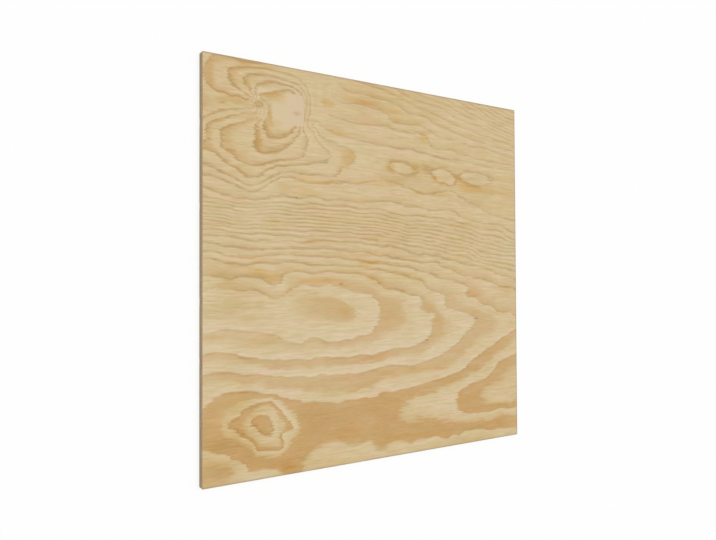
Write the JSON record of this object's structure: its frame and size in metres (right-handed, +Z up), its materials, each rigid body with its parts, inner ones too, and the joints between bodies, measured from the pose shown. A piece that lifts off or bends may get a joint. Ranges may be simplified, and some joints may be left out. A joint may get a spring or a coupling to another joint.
{
  "type": "plywood sheet",
  "caption": "Square sheet of sanded softwood plywood with a clear-grained face veneer and square sawn edges, lying flat.",
  "frame": {"origin": "middle of the underside, on the surface that the sheet lies on", "axes": "+X along the grain of the face veneer, +Y across that grain in the plane of the sheet, +Z up out of the good face"},
  "size_m": [0.6096, 0.6096, 0.0119],
  "materials": {
    "sanded_pine": "sanded bare softwood veneer, satin, pale straw with tan latewood bands"
  },
  "bodies": {
    "root": {"plywood_sheet": "sanded_pine"}
  },
  "joints": []
}
